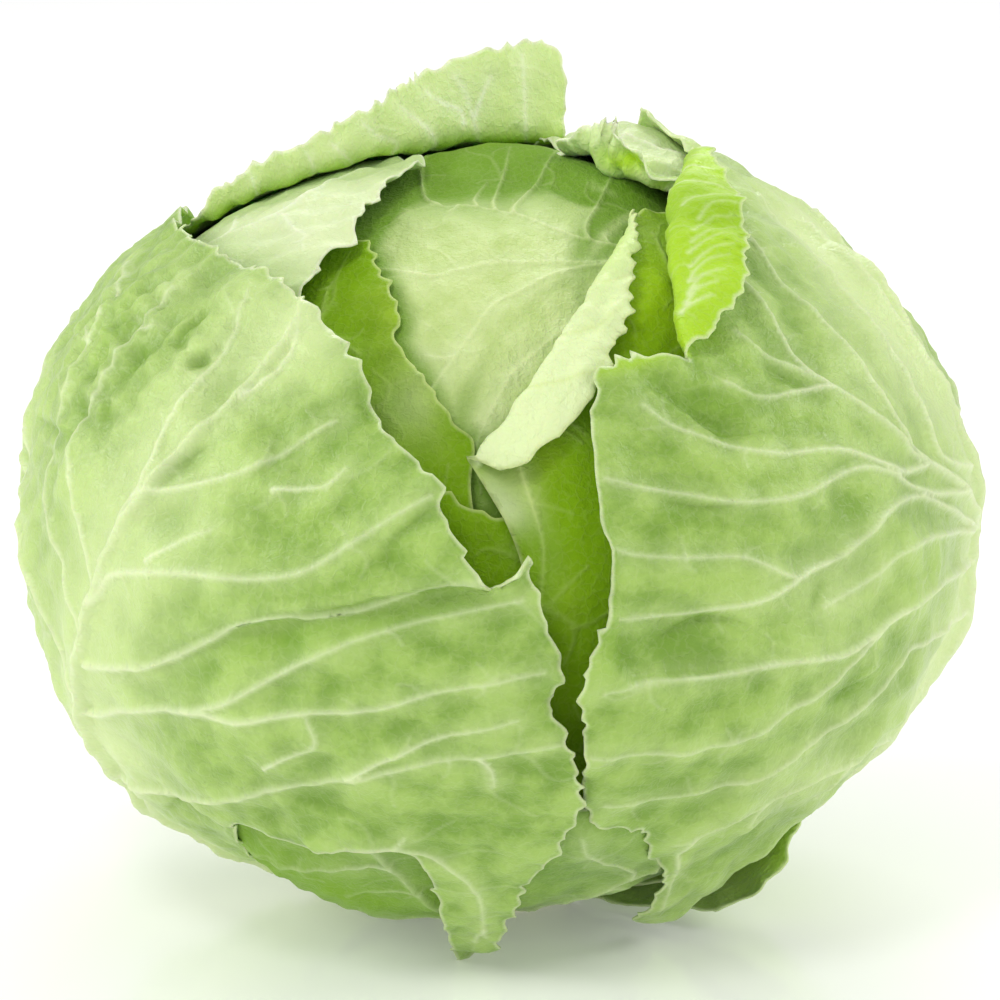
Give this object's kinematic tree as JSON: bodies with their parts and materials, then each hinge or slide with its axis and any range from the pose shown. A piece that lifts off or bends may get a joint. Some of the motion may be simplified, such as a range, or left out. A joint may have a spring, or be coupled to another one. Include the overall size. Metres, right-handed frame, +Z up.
{
  "type": "cabbage head",
  "caption": "Whole head of green cabbage: a tight pale heart in loose, veined wrapper leaves with toothed, curled margins, standing on its short cut stem.",
  "frame": {"origin": "centre of the stem's cut face, on the surface the head stands on", "axes": "+Z up through the crown, -Y the front where the wrapper leaves part over the heart, +X to the right seen from the front"},
  "size_m": [0.2178, 0.2121, 0.1962],
  "materials": {
    "outer_leaf": "waxy mid-green leaf with paler veins",
    "crown_leaf": "waxy pale-green leaf",
    "inner_leaf": "smooth yellow-green leaf",
    "base_leaf": "waxy grey-green leaf",
    "heart_leaf": "smooth pale-green leaf, soft gloss",
    "cut_stem": "freshly cut pale stalk"
  },
  "bodies": {
    "root": {"stem": "cut_stem", "heart": "heart_leaf", "inner_left_leaf": "inner_leaf", "inner_front_leaf": "inner_leaf", "inner_right_leaf": "inner_leaf", "left_crown_leaf": "crown_leaf", "right_crown_leaf": "crown_leaf", "back_crown_leaf": "crown_leaf", "base_front_leaf": "base_leaf", "outer_right_leaf": "outer_leaf", "outer_left_leaf": "outer_leaf", "base_right_leaf": "base_leaf"}
  },
  "joints": []
}
